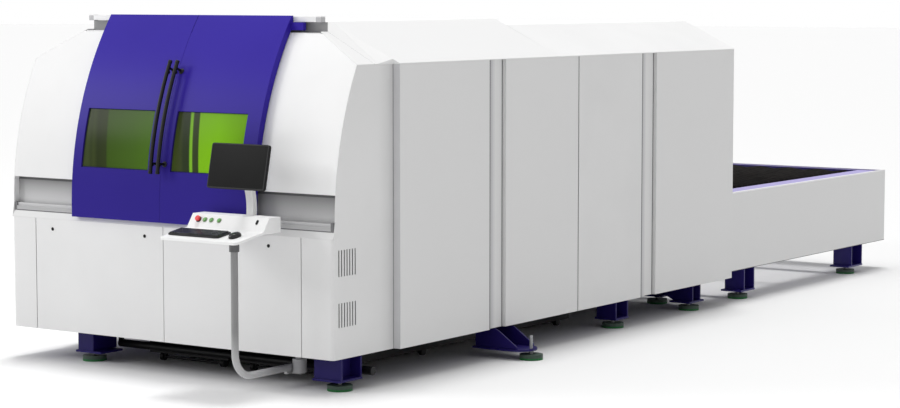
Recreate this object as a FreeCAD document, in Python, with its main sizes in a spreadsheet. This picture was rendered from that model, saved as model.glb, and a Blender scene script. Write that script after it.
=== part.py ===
import FreeCAD, Part
import Sketcher
import math
import os
import re

os.makedirs("parts", exist_ok=True)
doc = FreeCAD.newDocument("laser_cutter")
Vector = FreeCAD.Vector

# Sizes in millimetres and degrees. X runs to the right along the front, Y to the back, Z up from the floor.
SIZES = {
    # front cabinet
    "half_width": "1500", "cabinet_low": "230", "cover_top": "1052", "cover_depth": "20",
    "cover_gap": "6", "seam_left": "-1257", "seam_mid": "-14", "seam_right": "1226",
    "sheet": "4", "bend_radius": "30", "sill_top": "1097", "sill_back": "22",
    "recess_y": "75", "recess_top": "1348", "front_depth": "693",
    # curved front
    "door_radius": "2400", "door_depth": "50", "door_proud": "36", "arc_y": "=door_radius - door_proud",
    "arc_z": "1155",
    "panel_radius": "=door_radius - door_depth - 8", "shoulder_z": "2220",
    "niche_sunk": "74", "panel_top": "=front_crease_z - niche_sunk",
    "opening_left": "-800", "opening_right": "776", "opening_low": "1180",
    # doors
    "door_low": "1086", "door_rise": "44",
    "door_high": "=front_crease_z + door_rise", "door_seam": "-12", "seam_play": "2",
    "door_left_edge": "-859", "door_right_edge": "835",
    "window_low": "1450", "window_high": "1873", "window_wide": "640",
    "window_left": "-777", "window_right": "72", "glass_depth": "6", "lip_depth": "12",
    "rebate": "15", "pane_play": "3",
    "handle_radius": "14", "handle_out": "70", "handle_low": "1440", "handle_high": "2224",
    "handle_left_x": "-48", "handle_right_x": "19", "stand_low": "1500", "stand_high": "2150",
    "stand_radius": "9", "tab_high": "=top_rail_low - 4", "tab_low": "=tab_high - 55",
    "tab_out": "109", "tab_thick": "30", "tab_y": "=top_rail_y - tab_thick",
    # rails
    "rail_y": "24", "rail_deep": "36", "rail_step": "10", "rail_mid": "1132", "rail_top": "1155",
    "rail_left": "-1470", "rail_right": "1461", "stop_wide": "24",
    "door_top_y": "=arc_y - sqrt(door_radius^2 - (door_high - arc_z)^2)", "top_rail_set": "21",
    "top_rail_y": "=door_top_y + top_rail_set", "top_rail_deep": "48", "top_rail_lift": "2", "top_rail_tall": "35",
    "top_rail_low": "=front_crease_z + top_rail_lift", "top_rail_high": "=top_rail_low + top_rail_tall",
    "top_rail_left": "-1054", "top_rail_right": "1030", "block_wide": "45", "rail_play": "5",
    "recess_half": "1095",
    # roof and sides
    "module_half": "1555", "module_top": "2217", "panel_thick": "40", "skin": "5",
    "front_crease_x": "975", "front_crease_z": "2503", "rear_crease_x": "1073",
    "crease_step": "46", "rear_crease_z": "=front_crease_z - crease_step",
    "eaves_z": "2222", "step_y": "2780", "module_seam": "3072", "module_gap": "8", "rear_y": "5640",
    "rear_wall_deep": "20", "strip_deep": "30", "strip_one": "1828", "strip_one_end": "2036",
    "strip_two": "4063", "strip_two_end": "4292",
    "vent_first": "57", "vent_pitch": "30.6", "vent_wide": "12", "vent_rows": "7",
    "vent_high_low": "795", "vent_high_top": "975", "vent_low_low": "447", "vent_low_top": "614",
    # bed
    "bed_left": "-965", "bed_right": "1490", "bed_beam": "200", "bed_front": "110", "bed_back": "5400",
    "bed_top": "1000", "bed_floor": "262", "cross_low": "470", "cross_high": "570", "cross_wide": "100",
    "cross_first": "250", "cross_pitch": "1650", "plate_low": "65", "plate_thick": "15", "rib": "15",
    "leg_wide": "146", "leg_flange": "15", "leg_web": "16", "web_set": "22", "leg_ahead": "60",
    "leg_behind": "110",
    "plate_out": "14", "plate_in": "87", "plate_ahead": "80", "plate_behind": "140", "leg_right": "1258",
    "foot_left": "-871", "foot_right": "1423", "foot_one": "196", "foot_two": "169", "foot_three": "3834",
    "foot_four": "5108", "foot_inner": "990", "foot_inner_y": "5330",
    "ledge_in": "100", "ledge_thick": "23", "low_level": "700", "high_level": "855", "ledge_start": "1900",
    "reach_back": "1334", "reach_round": "135", "reach_y": "2055", "reach_foot": "1770",
    "reach_tip": "=reach_foot + 29",
    "foot_radius": "87.5", "foot_high": "40", "rod_radius": "12", "rod_high": "178", "rod_play": "0.5",
    "nut_radius": "22", "nut_high": "12",
    # exchange table
    "table_right": "1500", "table_left": "-1000", "table_back": "8970", "table_low": "270",
    "table_top": "955", "sheet_top": "960", "table_beam": "251", "beam_low": "560", "end_beam": "70",
    "table_foot_in": "92", "table_leg": "190", "table_foot_one": "6037", "table_foot_two": "8276",
    # pallets
    "pallet_left": "-725", "pallet_right": "1225", "pallet_long": "3100", "pallet_rise": "0.4",
    "pallet_high_y": "5760", "pallet_low_y": "2380", "frame_high": "60", "frame_wide": "70",
    "slat_high": "50", "slat_thick": "6", "slat_pitch": "106", "slat_rows": "28", "slat_teeth": "6",
    "tooth_high": "18", "slat_rest": "25",
    # beam, carriage and head
    "rail_wide": "40", "rail_high": "30", "rail_start": "700", "rail_end": "5560", "rail_in": "80",
    "beam_y": "2420", "beam_deep": "300", "beam_foot": "400", "beam_foot_wide": "120",
    "beam_bottom": "1090", "beam_top": "1390", "slide_play": "0.5", "beam_over": "30",
    "carriage_x": "250", "carriage_wide": "200", "carriage_deep": "68", "carriage_low": "1060",
    "carriage_high": "1420", "head_wide": "120", "head_deep": "60", "head_low": "1100",
    "head_high": "1380", "head_radius": "35", "nozzle_top": "1045", "nozzle_low": "990",
    # scrap trolleys
    "bin_left": "-537", "bin_right": "322", "bin_wide": "752", "bin_front": "432", "bin_long": "3288",
    "bin_low": "62", "bin_high": "430", "bin_wall": "4", "wheel_radius": "30", "wheel_wide": "30",
    "wheel_inset": "86", "wheel_front": "=bin_front + 55", "wheel_mid": "=bin_front + bin_long * 0.4045",
    "wheel_back": "=bin_front + bin_long - 59",
    "axle_radius": "8", "axle_play": "0.05", "fork_wide": "12",
    # control post
    "pivot_x": "980", "pivot_y": "290", "pivot_radius": "50", "pivot_low": "70", "pivot_high": "165",
    "tube_radius": "25", "post_x": "930", "post_y": "-350", "run_z": "105", "post_bend": "170",
    "post_high": "969", "collar_radius": "35", "collar_high": "1028", "pin_radius": "12", "hub_radius": "20",
    "tongue_low": "58", "tongue_thick": "11", "fit_play": "0.05",
    # desk
    "desk_left": "455", "desk_right": "1130", "desk_front": "-572", "desk_front_z": "1058",
    "shelf_thick": "16", "shelf_angle": "9.24", "desk_foot_y": "-283", "slope_angle": "54.6",
    "desk_top": "1196", "desk_back": "-99", "desk_corner": "30",
    "key_left": "470", "key_wide": "450", "key_deep": "150", "key_thick": "22", "key_y": "-505",
    "mouse_left": "985", "mouse_wide": "62", "mouse_deep": "105", "mouse_thick": "34", "mouse_y": "-495",
    "button_radius": "14", "button_play": "0.05", "button_deep": "30", "button_out": "7", "bore_deep": "40",
    "control_up": "66", "stop_x": "530", "mushroom_radius": "20", "mushroom_low": "8", "mushroom_high": "24",
    "green_one": "586", "green_two": "643", "green_three": "712",
    # monitor
    "screen_x": "888", "screen_wide": "500", "screen_high": "312", "screen_deep": "22", "screen_round": "18",
    "hinge_y": "-205", "hinge_z": "1526", "screen_back": "28", "screen_tilt": "12.5", "hinge_radius": "8",
    "lug_gap": "3", "lug_wide": "15", "lug_half": "18", "stem_wide": "60", "stem_deep": "40", "stem_y": "-112",
    # covers' locks
    "lock_radius": "10", "lock_play": "0.05", "lock_z": "978", "lock_out": "5", "lock_back": "8",
    "lock_one": "-1087", "lock_two": "-188", "lock_three": "158", "lock_four": "943",
    # inside
    "store_left": "-1480", "store_wide": "470", "store_y": "760", "store_deep": "1640", "store_high": "1900",
    "bar_radius": "29", "bar_y": "400", "bar_z": "112", "bar_left": "-800", "bar_right": "1536",
    "shift_x": "=(reach_foot + foot_radius - module_half) / 2",
    "shift_y": "=(desk_front + table_back) / 2",
}

size = doc.addObject("Spreadsheet::Sheet", "size")
for row, (name, value) in enumerate(SIZES.items(), 1):
    size.set("A%d" % row, name)
    size.set("B%d" % row, value)
    size.setAlias("B%d" % row, name)
doc.recompute()

WORD = re.compile(r"[a-z][a-z_]*[a-z]")
count = 0
origin = {}


def link(text):
    """An expression with each named size pointed at the sheet."""
    return WORD.sub(lambda m: "size." + m[0] if m[0] in SIZES else m[0], str(text))


def number(text):
    """The present value of an expression, in millimetres or degrees."""
    found = size.evalExpression(link(text))
    return float(getattr(found, "Value", found))


def fresh(label):
    """A new object name for a building step."""
    global count
    count += 1
    return "%s_%d" % (label, count)


def put(part, x, y, z):
    """Sets where an object stands, from expressions."""
    for axis, text in zip("xyz", (x, y, z)):
        part.setExpression("Placement.Base." + axis, link(text))
    origin[part.Name] = (x, y, z)


def turn(part, axis, angle):
    """Turns an object about one axis by an expression in degrees."""
    part.Placement.Rotation = FreeCAD.Rotation(Vector(*axis), 30)
    part.setExpression("Placement.Rotation.Angle", link(angle))
    return part


def box(x0, x1, y0, y1, z0, z1):
    """A block between two corners."""
    part = doc.addObject("Part::Box", fresh("block"))
    for side, low, high in (("Length", x0, x1), ("Width", y0, y1), ("Height", z0, z1)):
        part.setExpression(side, link("%s - (%s)" % (high, low)))
    put(part, x0, y0, z0)
    return part


def rod(x, y, z, radius, length, axis=None, angle="90"):
    """A round bar, upright unless an axis and an angle turn it."""
    part = doc.addObject("Part::Cylinder", fresh("round"))
    part.setExpression("Radius", link(radius))
    part.setExpression("Height", link(length))
    if axis:
        turn(part, axis, angle)
    put(part, x, y, z)
    return part


def cone(x, y, z, low, high, length):
    """An upright cone frustum."""
    part = doc.addObject("Part::Cone", fresh("cone"))
    part.setExpression("Radius1", link(low))
    part.setExpression("Radius2", link(high))
    part.setExpression("Height", link(length))
    put(part, x, y, z)
    return part


def bend(x, y, z, ring, radius, angle, first, second, third):
    """A part of a ring whose axes are given, swept from the first towards the second."""
    part = doc.addObject("Part::Torus", fresh("bend"))
    part.setExpression("Radius1", link(ring))
    part.setExpression("Radius2", link(radius))
    part.setExpression("Angle3", link(angle))
    part.Placement.Rotation = FreeCAD.Rotation(Vector(*first), Vector(*second), Vector(*third), "XYZ")
    put(part, x, y, z)
    return part


def fuse(*parts):
    """One solid of several that meet."""
    whole = doc.addObject("Part::MultiFuse", fresh("joined"))
    whole.Shapes = list(parts)
    whole.Refine = True
    put(whole, "0", "0", "0")
    return whole


def cut(base, *tools):
    """The base without the tools."""
    whole = doc.addObject("Part::Cut", fresh("cut"))
    whole.Base = base
    whole.Tool = tools[0] if len(tools) == 1 else fuse(*tools)
    put(whole, "0", "0", "0")
    return whole


def common(*parts):
    """What the parts share."""
    whole = doc.addObject("Part::MultiCommon", fresh("shared"))
    whole.Shapes = list(parts)
    put(whole, "0", "0", "0")
    return whole


def outline(plane, points, start, end):
    """A body padded between two distances from a sketch whose corners are all bound to the sheet.

    A corner is (across, up), or (across, up, radius, side) where an arc leads on to the next corner
    and bulges to the left of the way (side 1) or to the right (side -1).
    """
    body = doc.addObject("PartDesign::Body", fresh("body"))
    sketch = body.newObject("Sketcher::SketchObject", fresh("sketch"))
    sketch.AttachmentSupport = [([f for f in body.Origin.OriginFeatures if f.Role == plane][0], "")]
    sketch.MapMode = "FlatFace"
    corners = [Vector(number(p[0]), number(p[1]), 0) for p in points]
    total = len(corners)
    ends = []
    for i, here in enumerate(corners):
        there = corners[(i + 1) % total]
        if len(points[i]) > 2:
            radius = number(points[i][2])
            run = there - here
            rise = radius - math.sqrt(radius ** 2 - (run.Length / 2) ** 2)
            left = Vector(-run.y, run.x, 0).normalize()
            centre = (here + there) * 0.5 + left * ((rise - radius) * points[i][3])
            first, last = (there, here) if points[i][3] > 0 else (here, there)
            angles = [math.atan2(end.y - centre.y, end.x - centre.x) for end in (first, last)]
            if angles[1] < angles[0]:
                angles[1] += 2 * math.pi
            circle = Part.Circle(centre, Vector(0, 0, 1), radius)
            sketch.addGeometry(Part.ArcOfCircle(circle, *angles), False)
            ends.append((2, 1) if points[i][3] > 0 else (1, 2))
        else:
            sketch.addGeometry(Part.LineSegment(here, there), False)
            ends.append((1, 2))
    for i in range(total):
        j = (i + 1) % total
        sketch.addConstraint(Sketcher.Constraint("Coincident", i, ends[i][1], j, ends[j][0]))
    for i in range(total):
        for kind, value, text in (("DistanceX", corners[i].x, points[i][0]),
                                  ("DistanceY", corners[i].y, points[i][1])):
            place = sketch.addConstraint(Sketcher.Constraint(kind, -1, 1, i, ends[i][0], value))
            sketch.setExpression("Constraints[%d]" % place, link(text))
        if len(points[i]) > 2:
            place = sketch.addConstraint(Sketcher.Constraint("Radius", i, number(points[i][2])))
            sketch.setExpression("Constraints[%d]" % place, link(points[i][2]))
    pad = body.newObject("PartDesign::Pad", fresh("pad"))
    pad.Profile = sketch
    pad.setExpression("Length", link("%s - (%s)" % (end, start)))
    body.Tip = pad
    base = {"XY_Plane": ("0", "0", start), "XZ_Plane": ("0", end, "0"), "YZ_Plane": (start, "0", "0")}
    put(body, *base[plane])
    return body


def repeat(body, axis, pitch, times):
    """Repeats a body's pad in a straight row."""
    row = body.newObject("PartDesign::LinearPattern", fresh("row"))
    row.Originals = [body.Tip]
    row.Direction = ([f for f in body.Origin.OriginFeatures if f.Role == axis][0], [""])
    row.setExpression("Length", link("%s * (%s - 1)" % (pitch, times)))
    row.setExpression("Occurrences", link(times))
    body.Tip = row
    return body


nodes = []


def node(label, part):
    """Names a finished piece and sets it down with the whole machine's base at the centre."""
    x, y, z = origin[part.Name]
    part.setExpression("Placement.Base.x", link("%s - shift_x" % x))
    part.setExpression("Placement.Base.y", link("%s - shift_y" % y))
    part.Label = label
    nodes.append(part)


def arc_at(radius, height):
    """How far back the curved front lies at a height."""
    return "(arc_y - sqrt((%s)^2 - (%s - arc_z)^2))" % (radius, height)


# Bed: two long box beams on legs, cross members, floor flanges, two levels of pallet ledges
left_in = "bed_left + bed_beam"
right_in = "bed_right - bed_beam"
plate_high = "plate_low + plate_thick"
bed = [
    box("bed_left", left_in, "bed_front", "bed_back", "cabinet_low", "bed_top"),
    box(right_in, "bed_right", "bed_front", "bed_back", "cabinet_low", "bed_top"),
    box("bend_radius - half_width", "half_width - bend_radius", "cover_depth", "bed_front", "cabinet_low",
        "bed_floor"),
    box("bend_radius - half_width", "half_width - bend_radius", "cover_depth", "bed_front", "cover_top - 40",
        "cover_top - 2"),
    box("bed_left", "bed_left + 80", "cover_depth", "bed_front", "cabinet_low", "cover_top - 2"),
    box("bed_right - 80", "bed_right", "cover_depth", "bed_front", "cabinet_low", "cover_top - 2"),
    box("panel_thick - module_half", "bed_left", "front_depth + sheet", "bed_back", "cabinet_low", "bed_floor"),
    box("bed_right", "module_half - panel_thick", "front_depth + sheet", "bed_back", "cabinet_low",
        "bed_floor"),
    box("sheet - half_width", "bed_left", "bed_front", "front_depth + sheet", "cabinet_low", "bed_floor"),
    box("pivot_x - 80", "pivot_x + 80", "cover_depth", "pivot_y + 110", "cabinet_low", "bed_floor"),
]
for i in range(4):
    y = "cross_first + cross_pitch * %d" % i
    bed.append(box(left_in, right_in, y, "%s + cross_wide" % y, "cross_low", "cross_high"))
for level in ("low_level", "high_level"):
    for x0, x1 in ((left_in, left_in + " + ledge_in"), (right_in + " - ledge_in", right_in)):
        bed.append(box(x0, x1, "ledge_start", "rear_y - rear_wall_deep - 2", level + " - ledge_thick", level))


def leg(x0, x1, y0, y1, foot_x, top):
    """A leg of H section: a flange in front, one behind, and a web set just beside the foot's rod."""
    web = "%s - web_set" % foot_x
    return [
        box(x0, x1, y0, "%s + leg_flange" % y0, plate_high, top),
        box(x0, x1, "%s - leg_flange" % y1, y1, plate_high, top),
        box(web + " - leg_web", web, y0, y1, plate_high, top)]


def base_plate(x0, x1, y0, y1):
    """A base plate under a leg or a bracket."""
    return box(x0, x1, y0, y1, "plate_low", plate_high)


post = "bed_left + leg_wide"
bed += leg("bed_left", post, "foot_one - 72", "foot_one + 179", "foot_left", "cabinet_low")
bed.append(base_plate("bed_left - plate_out", post + " + plate_in", "foot_one - 84", "foot_one + 153"))
bed += leg("leg_right", "bed_right", "foot_two - 72", "foot_two + 161", "foot_right", "cabinet_low")
bed.append(base_plate("leg_right - 3", "bed_right + 2", "foot_two - 89", "foot_two + 165"))
for y in ("reach_y", "foot_three", "foot_four"):
    bed += leg("bed_left", post, y + " - leg_ahead", y + " + leg_behind", "foot_left", "cabinet_low")
    bed.append(base_plate(
        "bed_left - plate_out", post + " + plate_in", y + " - plate_ahead", y + " + plate_behind"))
bed += leg(
    "foot_inner - 50", "foot_inner + 50", "foot_inner_y - 50", "foot_inner_y + 50", "foot_inner", "cabinet_low")
bed.append(base_plate("foot_inner - 90", "foot_inner + 90", "foot_inner_y - 80", "foot_inner_y + 80"))
bed.append(box("foot_inner - 90", "bed_right", "foot_four - 93", "bed_back", "cabinet_low", "bed_floor"))
# Outrigger on the right with a round-ended foot plate
reach = "reach_tip - reach_round"
bed.append(outline("XY_Plane", [
    ("reach_back", "reach_y - reach_round"), (reach, "reach_y - reach_round", "reach_round", -1),
    (reach + " + reach_round", "reach_y", "reach_round", -1), (reach, "reach_y + reach_round"),
    ("reach_back", "reach_y + reach_round")], "plate_low", plate_high))
for y in ("reach_y - 120", "reach_y + 105"):
    bed.append(outline("XZ_Plane", [
        ("reach_back + 20", plate_high), ("reach_tip - 79", plate_high), ("reach_tip - 79", plate_high + " + 17"),
        ("bed_right + 70", "cabinet_low - 23"), ("bed_right + 22", "cabinet_low - 1"),
        ("bed_right + 10", "cabinet_low + 10"),
        ("bed_right - 60", "cabinet_low + 20"), ("reach_back + 20", "cabinet_low + 20")], y, y + " + rib"))
# Open bracket and tapered gusset further back
plate_x = "foot_right - 138"
bed.append(base_plate(plate_x, "bed_right - 5", "foot_three - 59", "foot_three + 148"))
for y in ("foot_three - 54", "foot_three + 128"):
    bed.append(box(plate_x + " + rib", "bed_right - 10", y, y + " + rib", plate_high, "cabinet_low"))
bed.append(base_plate(plate_x, "bed_right - 5", "foot_four - 93", "foot_four + 157"))
for y in ("foot_four - 48", "foot_four + 82"):
    bed.append(outline("XZ_Plane", [
        (plate_x + " + rib", plate_high), ("bed_right - 5", plate_high), ("bed_right - 5", "cabinet_low + 20"),
        ("foot_inner + 10", "cabinet_low + 20"), ("foot_inner + 10", "cabinet_low - 5")], y, y + " + rib"))
FEET = (
    ("foot_left", "foot_one"), ("foot_right", "foot_two"), ("reach_foot", "reach_y"), ("foot_right", "foot_three"),
    ("foot_right", "foot_four"), ("foot_inner", "foot_inner_y"), ("foot_left", "reach_y"),
    ("foot_left", "foot_three"), ("foot_left", "foot_four"),
)
TABLE_FEET = tuple((x, y) for x in ("table_right - table_foot_in", "table_left + table_foot_in")
                   for y in ("table_foot_one", "table_foot_two"))


def bores(feet):
    """Clearance bores for the foot rods."""
    return [rod(x, y, "plate_low - 5", "rod_radius + rod_play", "rod_high - plate_low + 10") for x, y in feet]


node("bed_frame", cut(fuse(*bed), *bores(FEET)))

# Levelling feet: thick disc, threaded rod and hexagon nut
feet = []
for x, y in FEET + TABLE_FEET:
    nut = doc.addObject("Part::Prism", fresh("nut"))
    nut.Polygon = 6
    nut.setExpression("Circumradius", link("nut_radius"))
    nut.setExpression("Height", link("nut_high"))
    put(nut, x, y, "plate_low - nut_high")
    feet += [rod(x, y, "0", "foot_radius", "foot_high"), nut,
             rod(x, y, "foot_high - 5", "rod_radius", "rod_high - foot_high + 5")]
node("level_feet", fuse(*feet))

# Round lifting bar under the front of the bed, on two hangers
node("lifting_bar", fuse(
    rod("bar_left", "bar_y", "bar_z", "bar_radius", "bar_right - bar_left", (0, 1, 0)),
    box("bar_left", "bar_left + 20", "bar_y - 20", "bar_y + 20", "bar_z", "cabinet_low"),
    box("bed_right - 190", "bed_right - 170", "bar_y - 20", "bar_y + 20", "bar_z", "cabinet_low")))

# Exchange table: side and end beams, ledges, posts on base plates
table_in_left = "table_left + sheet + table_beam"
table_in_right = "table_right - sheet - table_beam"
table_end = "table_back - sheet"
table = [
    box("table_left + sheet", table_in_left, "rear_y", table_end, "beam_low", "table_top"),
    box(table_in_right, "table_right - sheet", "rear_y", table_end, "beam_low", "table_top"),
    box(table_in_left, table_in_right, table_end + " - end_beam", table_end, "beam_low", "table_top"),
]
for level in ("low_level", "high_level"):
    table.append(box(table_in_left, "pallet_left + 60", "rear_y + 2", table_end, level + " - ledge_thick", level))
    table.append(box("pallet_right - 60", table_in_right, "rear_y + 2", table_end, level + " - ledge_thick", level))
for start, end, foot in (
        ("table_left + 10", "table_left + 10 + table_leg", "table_left + table_foot_in"),
        ("table_right - 10 - table_leg", "table_right - 10", "table_right - table_foot_in")):
    for y, deep in (("table_foot_one", "163"), ("table_foot_two", "204")):
        table += leg(start, end, y + " - 37", "%s + %s" % (y, deep), foot, "beam_low")
        table.append(base_plate(start + " - 10", end, y + " - 92", "%s + %s + 10" % (y, deep)))
for y in ("table_foot_one - 37", "table_foot_two - 76"):
    table.append(box("table_left + 10 + table_leg", "table_right - 10 - table_leg", y, y + " + cross_wide", "table_low",
                     "table_low + cross_wide"))
node("table_frame", cut(fuse(*table), *bores(TABLE_FEET)))
node("table_sheets", fuse(
    box("table_right - sheet", "table_right", "rear_y", "table_back", "table_low", "sheet_top"),
    box("table_left", "table_left + sheet", "rear_y", "table_back", "table_low", "sheet_top"),
    box("table_left", "table_right", "table_back - sheet", "table_back", "table_low", "sheet_top")))

# Front corner sheets: one folded sheet each side, front strip, rounded corner and side wall
side_outline = [
    ("sheet", "cover_top"), (arc_at("panel_radius", "arc_z"), "arc_z", "panel_radius", 1),
    (arc_at("panel_radius", "shoulder_z - skin"), "shoulder_z - skin"), ("front_depth", "shoulder_z - skin"),
    ("front_depth", "cover_top")]


def corner_sheet(sign, seam):
    """The folded front corner sheet of one side."""
    turned = -1 if sign == "-" else 1
    wide = "%s half_width" % sign
    inner = "%s (half_width - sheet)" % sign
    corner = "%s (half_width - bend_radius)" % sign
    low = outline("XY_Plane", [
        (seam, "0"), (corner, "0", "bend_radius", -turned), (wide, "bend_radius"), (wide, "front_depth"),
        (inner, "front_depth"), (inner, "bend_radius", "bend_radius - sheet", turned), (corner, "sheet"),
        (seam, "sheet")], "cabinet_low", "cover_top")
    start, end = ("-half_width", "sheet - half_width") if sign == "-" else ("half_width - sheet", "half_width")
    return fuse(low, outline("YZ_Plane", side_outline, start, end))


def vents(low, high):
    """A row of upright vent slots through the right side."""
    slot = outline("YZ_Plane", [
        ("vent_first", low), ("vent_first + vent_wide", low), ("vent_first + vent_wide", high),
        ("vent_first", high)], "half_width - 2 * sheet", "half_width + sheet")
    return repeat(slot, "Y_Axis", "vent_pitch", "vent_rows")


node("side_front_left", corner_sheet("-", "seam_left - cover_gap / 2"))
node("side_front_right", cut(
    corner_sheet("+", "seam_right + cover_gap / 2"),
    vents("vent_high_low", "vent_high_top"), vents("vent_low_low", "vent_low_top")))

# Lift-off covers with two quarter-turn locks each
LOCKS = (("lock_one", "lock_two"), ("lock_three", "lock_four"))
for label, x0, x1, locks in (("cover_left", "seam_left", "seam_mid", LOCKS[0]),
                             ("cover_right", "seam_mid", "seam_right", LOCKS[1])):
    cover = box(x0 + " + cover_gap / 2", x1 + " - cover_gap / 2", "0", "cover_depth", "cabinet_low", "cover_top")
    holes = [rod(x, "cover_depth + 5", "lock_z", "lock_radius + lock_play", "cover_depth + 10", (1, 0, 0))
             for x in locks]
    node(label, cut(cover, *holes))
for number_name, x in zip(("one", "two", "three", "four"), LOCKS[0] + LOCKS[1]):
    node("lock_" + number_name, fuse(
        rod(x, "cover_depth + lock_back", "lock_z", "lock_radius", "cover_depth + lock_back + lock_out", (1, 0, 0)),
        box(x + " - 6", x + " + 6", "cover_depth + 2", "cover_depth + lock_back", "lock_z - 6", "lock_z + 30")))

# Sill and recess wall in one folded sheet, cut away between the doors' jambs
sill = outline("YZ_Plane", [
    ("0", "cover_top"), ("sill_back", "sill_top"), ("recess_y", "sill_top"), ("recess_y", "recess_top"),
    ("recess_y + sheet", "recess_top"), ("recess_y + sheet", "sill_top - sheet"),
    ("sill_back + sheet - 1", "sill_top - sheet"), ("sheet", "cover_top")],
    "sheet - half_width", "half_width - sheet")
node("sill", cut(sill, box(
    "opening_left", "opening_right", "recess_y - 5", "recess_y + 20", "opening_low", "recess_top + 10")))

# Door rails and end stops
node("lower_rail", outline("YZ_Plane", [
    ("rail_y", "sill_top"), ("rail_y", "rail_mid"), ("rail_y + rail_step", "rail_mid"),
    ("rail_y + rail_step", "rail_top"), ("rail_y + rail_deep", "rail_top"), ("rail_y + rail_deep", "sill_top")],
    "rail_left", "rail_right"))
rail_back = "top_rail_y + top_rail_deep"
node("top_rail", box("top_rail_left", "top_rail_right", "top_rail_y", rail_back, "top_rail_low", "top_rail_high"))
node("end_stops", fuse(
    box("rail_left - stop_wide", "rail_left", "rail_y", "rail_y + rail_deep", "sill_top", "rail_top + 5"),
    box("rail_right", "rail_right + stop_wide", "rail_y", "rail_y + rail_deep", "sill_top", "rail_top + 5"),
    box("top_rail_left - block_wide", "top_rail_left", "top_rail_y", rail_back, "top_rail_low - 3",
        "top_rail_high + 3"),
    box("top_rail_right", "top_rail_right + block_wide", "top_rail_y", rail_back, "top_rail_low - 3",
        "top_rail_high + 3")))

# Fixed curved front panels, trimmed by the roof's slope
inside = "(panel_radius - sheet)"
front_gable = [
    ("-half_width", "recess_top - 20"), ("half_width", "recess_top - 20"), ("half_width", "shoulder_z - skin"),
    ("front_crease_x", "front_crease_z - skin"), ("-front_crease_x", "front_crease_z - skin"),
    ("-half_width", "shoulder_z - skin")]
for label, x0, x1 in (("panel_left", "sheet - half_width", "opening_left"),
                      ("panel_right", "opening_right", "half_width - sheet")):
    band = outline("YZ_Plane", [
        (arc_at("panel_radius", "recess_top"), "recess_top", "panel_radius", 1),
        (arc_at("panel_radius", "panel_top - skin"), "panel_top - skin"),
        (arc_at(inside, "panel_top - skin"), "panel_top - skin", inside, -1),
        (arc_at(inside, "recess_top + sheet"), "recess_top + sheet"),
        ("recess_y + sheet", "recess_top + sheet"), ("recess_y + sheet", "recess_top")], x0, x1)
    node(label, common(band, outline("XZ_Plane", front_gable, "-20", "front_depth")))


# Roof: folded sheets over the front, the taller middle and the rear
def gable(half, low, crease, high, start, end):
    """A roof sheet with a flat top and two sloping sides."""
    return outline("XZ_Plane", [
        ("-" + half, low), ("-" + half, low + " - skin"), ("-" + crease, high + " - skin"),
        (crease, high + " - skin"), (half, low + " - skin"), (half, low), (crease, high), ("-" + crease, high)],
        start, end)


nose = outline("YZ_Plane", [
    ("-20", "shoulder_z - 60"), (arc_at("panel_radius", "shoulder_z - 60"), "shoulder_z - 60", "panel_radius", 1),
    (arc_at("panel_radius", "front_crease_z + 10"), "front_crease_z + 10"), ("-20", "front_crease_z + 10")],
    "-half_width - 50", "half_width + 50")
niche = box("-recess_half", "recess_half", "0", rail_back, "panel_top", "front_crease_z + 20")
EAVES = (("-module_half", "eaves_z"), ("-front_crease_x", "front_crease_z"), ("front_crease_x", "front_crease_z"),
         ("module_half", "eaves_z"), ("module_half", "eaves_z - skin"))
roof_nose = fuse(
    cut(gable("half_width", "shoulder_z", "front_crease_x", "front_crease_z", "0", "front_depth"), nose, niche),
    box("-recess_half", "recess_half", rail_back, rail_back + " + sheet", "panel_top - skin", "front_crease_z - 1"),
    box("-recess_half", "recess_half", arc_at("panel_radius", "panel_top"), rail_back + " + 1",
        "panel_top - skin", "panel_top"))
roof_bulkhead = outline("XZ_Plane", [
    *EAVES, ("half_width", "eaves_z - skin"), ("half_width", "shoulder_z - skin"),
    ("front_crease_x", "rear_crease_z - skin - 12"), ("-front_crease_x", "rear_crease_z - skin - 12"),
    ("-half_width", "shoulder_z - skin"), ("-half_width", "eaves_z - skin"), ("-module_half", "eaves_z - skin")],
    "front_depth", "front_depth + sheet")
roof_middle = outline("XZ_Plane", [
    *EAVES, ("rear_crease_x", "rear_crease_z - skin"), ("-rear_crease_x", "rear_crease_z - skin"),
    ("-module_half", "eaves_z - skin")], "front_depth + sheet", "step_y")
node("roof_front", fuse(roof_nose, roof_bulkhead, roof_middle))
node("roof_rear", gable("module_half", "eaves_z", "rear_crease_x", "rear_crease_z", "step_y", "rear_y"))

# Side modules: thick double-skinned panels, with sunk strips on the right
side_end = "rear_y - rear_wall_deep"
seam_a = "module_seam - module_gap / 2"
seam_b = "module_seam + module_gap / 2"
face = "module_half - panel_thick"
node("side_left_front", fuse(
    box("-module_half", "panel_thick - module_half", "front_depth", seam_a, "cabinet_low", "module_top"),
    box("panel_thick - module_half", "-half_width", "front_depth", "front_depth + sheet", "cabinet_low", "module_top")))
node("side_left_rear", box("-module_half", "panel_thick - module_half", seam_b, side_end, "cabinet_low", "module_top"))
node("side_right_front", cut(
    fuse(box(face, "module_half", "front_depth", seam_a, "cabinet_low", "module_top"),
         box("half_width", face, "front_depth", "front_depth + sheet", "cabinet_low", "module_top")),
    box("module_half - strip_deep", "module_half + 5", "strip_one", "strip_one_end",
        "cabinet_low - 5", "module_top + 5")))
node("side_right_rear", cut(
    box(face, "module_half", seam_b, side_end, "cabinet_low", "module_top"),
    box("module_half - strip_deep", "module_half + 5", "strip_two", "strip_two_end",
        "cabinet_low - 5", "module_top + 5")))
wall = outline("XZ_Plane", [
    ("-module_half", "cabinet_low"), ("module_half", "cabinet_low"), ("module_half", "eaves_z - skin"),
    ("rear_crease_x", "rear_crease_z - skin"), ("-rear_crease_x", "rear_crease_z - skin"),
    ("-module_half", "eaves_z - skin")], side_end, "rear_y")
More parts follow.
